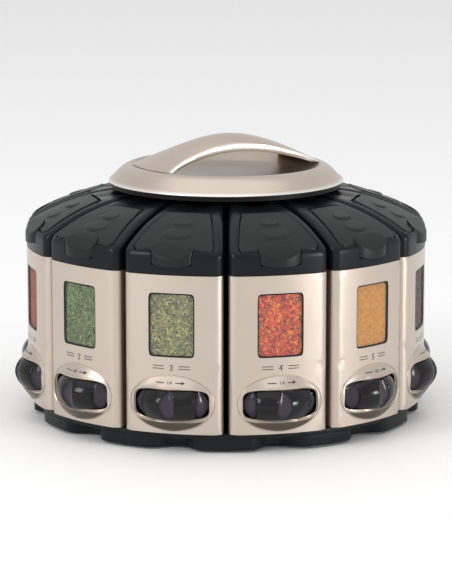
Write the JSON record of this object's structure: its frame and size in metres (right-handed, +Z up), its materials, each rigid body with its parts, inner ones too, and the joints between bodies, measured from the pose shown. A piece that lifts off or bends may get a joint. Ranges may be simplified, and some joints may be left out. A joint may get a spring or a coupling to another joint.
{
  "type": "spice rack",
  "caption": "Rotating worktop spice rack with wedge-shaped dispensers, thumb dials that measure a portion, hinged lids and a domed top with a carrying handle.",
  "frame": {"origin": "centre of the turntable, on the surface that the rubber feet stand on", "axes": "+Z up along the turntable's axis; -Y towards the viewer, between two dispensers"},
  "size_m": [0.242, 0.242, 0.1617],
  "materials": {
    "foot_black": "matt moulded",
    "pad_rubber": "soft rubber",
    "ball_steel": "polished steel",
    "cage_nylon": "natural nylon",
    "screw_steel": "zinc plated",
    "base_black": "satin moulded",
    "frame_black": "matt moulded",
    "trim_grey": "satin",
    "satin_nickel": "satin champagne",
    "canister_black": "fine-grained moulded",
    "lid_black": "fine-grained moulded",
    "dial_gloss": "semi-gloss moulded"
  },
  "bodies": {
    "foot": {"foot_plate": "foot_black", "foot_pads": "pad_rubber", "bearing_balls": "ball_steel", "ball_cage": "cage_nylon", "pivot_screw": "screw_steel"},
    "turntable": {"tray": "base_black", "column": "frame_black", "crown": "frame_black", "dome_trim": "trim_grey", "dome": "satin_nickel", "handle": "satin_nickel", "frame_screws": "screw_steel"},
    "dispenser_01": {"canister_01": "canister_black", "shell_01": "satin_nickel"},
    "lid_01": {"lid_01": "lid_black"},
    "dial_01": {"dial_01": "dial_gloss"},
    "dispenser_02": {"canister_02": "canister_black", "shell_02": "satin_nickel"},
    "lid_02": {"lid_02": "lid_black"},
    "dial_02": {"dial_02": "dial_gloss"},
    "dispenser_03": {"canister_03": "canister_black", "shell_03": "satin_nickel"},
    "lid_03": {"lid_03": "lid_black"},
    "dial_03": {"dial_03": "dial_gloss"},
    "dispenser_04": {"canister_04": "canister_black", "shell_04": "satin_nickel"},
    "lid_04": {"lid_04": "lid_black"},
    "dial_04": {"dial_04": "dial_gloss"},
    "dispenser_05": {"canister_05": "canister_black", "shell_05": "satin_nickel"},
    "lid_05": {"lid_05": "lid_black"},
    "dial_05": {"dial_05": "dial_gloss"},
    "dispenser_06": {"canister_06": "canister_black", "shell_06": "satin_nickel"},
    "lid_06": {"lid_06": "lid_black"},
    "dial_06": {"dial_06": "dial_gloss"},
    "dispenser_07": {"canister_07": "canister_black", "shell_07": "satin_nickel"},
    "lid_07": {"lid_07": "lid_black"},
    "dial_07": {"dial_07": "dial_gloss"},
    "dispenser_08": {"canister_08": "canister_black", "shell_08": "satin_nickel"},
    "lid_08": {"lid_08": "lid_black"},
    "dial_08": {"dial_08": "dial_gloss"},
    "dispenser_09": {"canister_09": "canister_black", "shell_09": "satin_nickel"},
    "lid_09": {"lid_09": "lid_black"},
    "dial_09": {"dial_09": "dial_gloss"},
    "dispenser_10": {"canister_10": "canister_black", "shell_10": "satin_nickel"},
    "lid_10": {"lid_10": "lid_black"},
    "dial_10": {"dial_10": "dial_gloss"},
    "dispenser_11": {"canister_11": "canister_black", "shell_11": "satin_nickel"},
    "lid_11": {"lid_11": "lid_black"},
    "dial_11": {"dial_11": "dial_gloss"},
    "dispenser_12": {"canister_12": "canister_black", "shell_12": "satin_nickel"},
    "lid_12": {"lid_12": "lid_black"},
    "dial_12": {"dial_12": "dial_gloss"}
  },
  "joints": [
    {"name": "turntable_spin", "type": "hinge", "parent": "foot", "child": "turntable", "pos_m": [0, 0, 0], "axis": [0, 0, 1], "continuous": true},
    {"name": "dispenser_slide_01", "type": "slide", "parent": "turntable", "child": "dispenser_01", "axis": [-0.9659, -0.2588, 0], "range_m": [0, 0.085]},
    {"name": "lid_hinge_01", "type": "hinge", "parent": "dispenser_01", "child": "lid_01", "pos_m": [-0.07592, -0.02034, 0.12539], "axis": [-0.2588, 0.9659, 0], "range_deg": [0, 105]},
    {"name": "dial_turn_01", "type": "hinge", "parent": "dispenser_01", "child": "dial_01", "pos_m": [-0.09852, -0.0264, 0.028], "axis": [0, 0, 1], "continuous": true},
    {"name": "dispenser_slide_02", "type": "slide", "parent": "turntable", "child": "dispenser_02", "axis": [-0.7071, -0.7071, 0], "range_m": [0, 0.085]},
    {"name": "lid_hinge_02", "type": "hinge", "parent": "dispenser_02", "child": "lid_02", "pos_m": [-0.05558, -0.05558, 0.12539], "axis": [-0.7071, 0.7071, 0], "range_deg": [0, 105]},
    {"name": "dial_turn_02", "type": "hinge", "parent": "dispenser_02", "child": "dial_02", "pos_m": [-0.07212, -0.07212, 0.028], "axis": [0, 0, 1], "continuous": true},
    {"name": "dispenser_slide_03", "type": "slide", "parent": "turntable", "child": "dispenser_03", "axis": [-0.2588, -0.9659, 0], "range_m": [0, 0.085]},
    {"name": "lid_hinge_03", "type": "hinge", "parent": "dispenser_03", "child": "lid_03", "pos_m": [-0.02034, -0.07592, 0.12539], "axis": [-0.9659, 0.2588, 0], "range_deg": [0, 105]},
    {"name": "dial_turn_03", "type": "hinge", "parent": "dispenser_03", "child": "dial_03", "pos_m": [-0.0264, -0.09852, 0.028], "axis": [0, 0, 1], "continuous": true},
    {"name": "dispenser_slide_04", "type": "slide", "parent": "turntable", "child": "dispenser_04", "axis": [0.2588, -0.9659, 0], "range_m": [0, 0.085]},
    {"name": "lid_hinge_04", "type": "hinge", "parent": "dispenser_04", "child": "lid_04", "pos_m": [0.02034, -0.07592, 0.12539], "axis": [-0.9659, -0.2588, 0], "range_deg": [0, 105]},
    {"name": "dial_turn_04", "type": "hinge", "parent": "dispenser_04", "child": "dial_04", "pos_m": [0.0264, -0.09852, 0.028], "axis": [0, 0, 1], "continuous": true},
    {"name": "dispenser_slide_05", "type": "slide", "parent": "turntable", "child": "dispenser_05", "axis": [0.7071, -0.7071, 0], "range_m": [0, 0.085]},
    {"name": "lid_hinge_05", "type": "hinge", "parent": "dispenser_05", "child": "lid_05", "pos_m": [0.05558, -0.05558, 0.12539], "axis": [-0.7071, -0.7071, 0], "range_deg": [0, 105]},
    {"name": "dial_turn_05", "type": "hinge", "parent": "dispenser_05", "child": "dial_05", "pos_m": [0.07212, -0.07212, 0.028], "axis": [0, 0, 1], "continuous": true},
    {"name": "dispenser_slide_06", "type": "slide", "parent": "turntable", "child": "dispenser_06", "axis": [0.9659, -0.2588, 0], "range_m": [0, 0.085]},
    {"name": "lid_hinge_06", "type": "hinge", "parent": "dispenser_06", "child": "lid_06", "pos_m": [0.07592, -0.02034, 0.12539], "axis": [-0.2588, -0.9659, 0], "range_deg": [0, 105]},
    {"name": "dial_turn_06", "type": "hinge", "parent": "dispenser_06", "child": "dial_06", "pos_m": [0.09852, -0.0264, 0.028], "axis": [0, 0, 1], "continuous": true},
    {"name": "dispenser_slide_07", "type": "slide", "parent": "turntable", "child": "dispenser_07", "axis": [0.9659, 0.2588, 0], "range_m": [0, 0.085]},
    {"name": "lid_hinge_07", "type": "hinge", "parent": "dispenser_07", "child": "lid_07", "pos_m": [0.07592, 0.02034, 0.12539], "axis": [0.2588, -0.9659, 0], "range_deg": [0, 105]},
    {"name": "dial_turn_07", "type": "hinge", "parent": "dispenser_07", "child": "dial_07", "pos_m": [0.09852, 0.0264, 0.028], "axis": [0, 0, 1], "continuous": true},
    {"name": "dispenser_slide_08", "type": "slide", "parent": "turntable", "child": "dispenser_08", "axis": [0.7071, 0.7071, 0], "range_m": [0, 0.085]},
    {"name": "lid_hinge_08", "type": "hinge", "parent": "dispenser_08", "child": "lid_08", "pos_m": [0.05558, 0.05558, 0.12539], "axis": [0.7071, -0.7071, 0], "range_deg": [0, 105]},
    {"name": "dial_turn_08", "type": "hinge", "parent": "dispenser_08", "child": "dial_08", "pos_m": [0.07212, 0.07212, 0.028], "axis": [0, 0, 1], "continuous": true},
    {"name": "dispenser_slide_09", "type": "slide", "parent": "turntable", "child": "dispenser_09", "axis": [0.2588, 0.9659, 0], "range_m": [0, 0.085]},
    {"name": "lid_hinge_09", "type": "hinge", "parent": "dispenser_09", "child": "lid_09", "pos_m": [0.02034, 0.07592, 0.12539], "axis": [0.9659, -0.2588, 0], "range_deg": [0, 105]},
    {"name": "dial_turn_09", "type": "hinge", "parent": "dispenser_09", "child": "dial_09", "pos_m": [0.0264, 0.09852, 0.028], "axis": [0, 0, 1], "continuous": true},
    {"name": "dispenser_slide_10", "type": "slide", "parent": "turntable", "child": "dispenser_10", "axis": [-0.2588, 0.9659, 0], "range_m": [0, 0.085]},
    {"name": "lid_hinge_10", "type": "hinge", "parent": "dispenser_10", "child": "lid_10", "pos_m": [-0.02034, 0.07592, 0.12539], "axis": [0.9659, 0.2588, 0], "range_deg": [0, 105]},
    {"name": "dial_turn_10", "type": "hinge", "parent": "dispenser_10", "child": "dial_10", "pos_m": [-0.0264, 0.09852, 0.028], "axis": [0, 0, 1], "continuous": true},
    {"name": "dispenser_slide_11", "type": "slide", "parent": "turntable", "child": "dispenser_11", "axis": [-0.7071, 0.7071, 0], "range_m": [0, 0.085]},
    {"name": "lid_hinge_11", "type": "hinge", "parent": "dispenser_11", "child": "lid_11", "pos_m": [-0.05558, 0.05558, 0.12539], "axis": [0.7071, 0.7071, 0], "range_deg": [0, 105]},
    {"name": "dial_turn_11", "type": "hinge", "parent": "dispenser_11", "child": "dial_11", "pos_m": [-0.07212, 0.07212, 0.028], "axis": [0, 0, 1], "continuous": true},
    {"name": "dispenser_slide_12", "type": "slide", "parent": "turntable", "child": "dispenser_12", "axis": [-0.9659, 0.2588, 0], "range_m": [0, 0.085]},
    {"name": "lid_hinge_12", "type": "hinge", "parent": "dispenser_12", "child": "lid_12", "pos_m": [-0.07592, 0.02034, 0.12539], "axis": [0.2588, 0.9659, 0], "range_deg": [0, 105]},
    {"name": "dial_turn_12", "type": "hinge", "parent": "dispenser_12", "child": "dial_12", "pos_m": [-0.09852, 0.0264, 0.028], "axis": [0, 0, 1], "continuous": true}
  ]
}
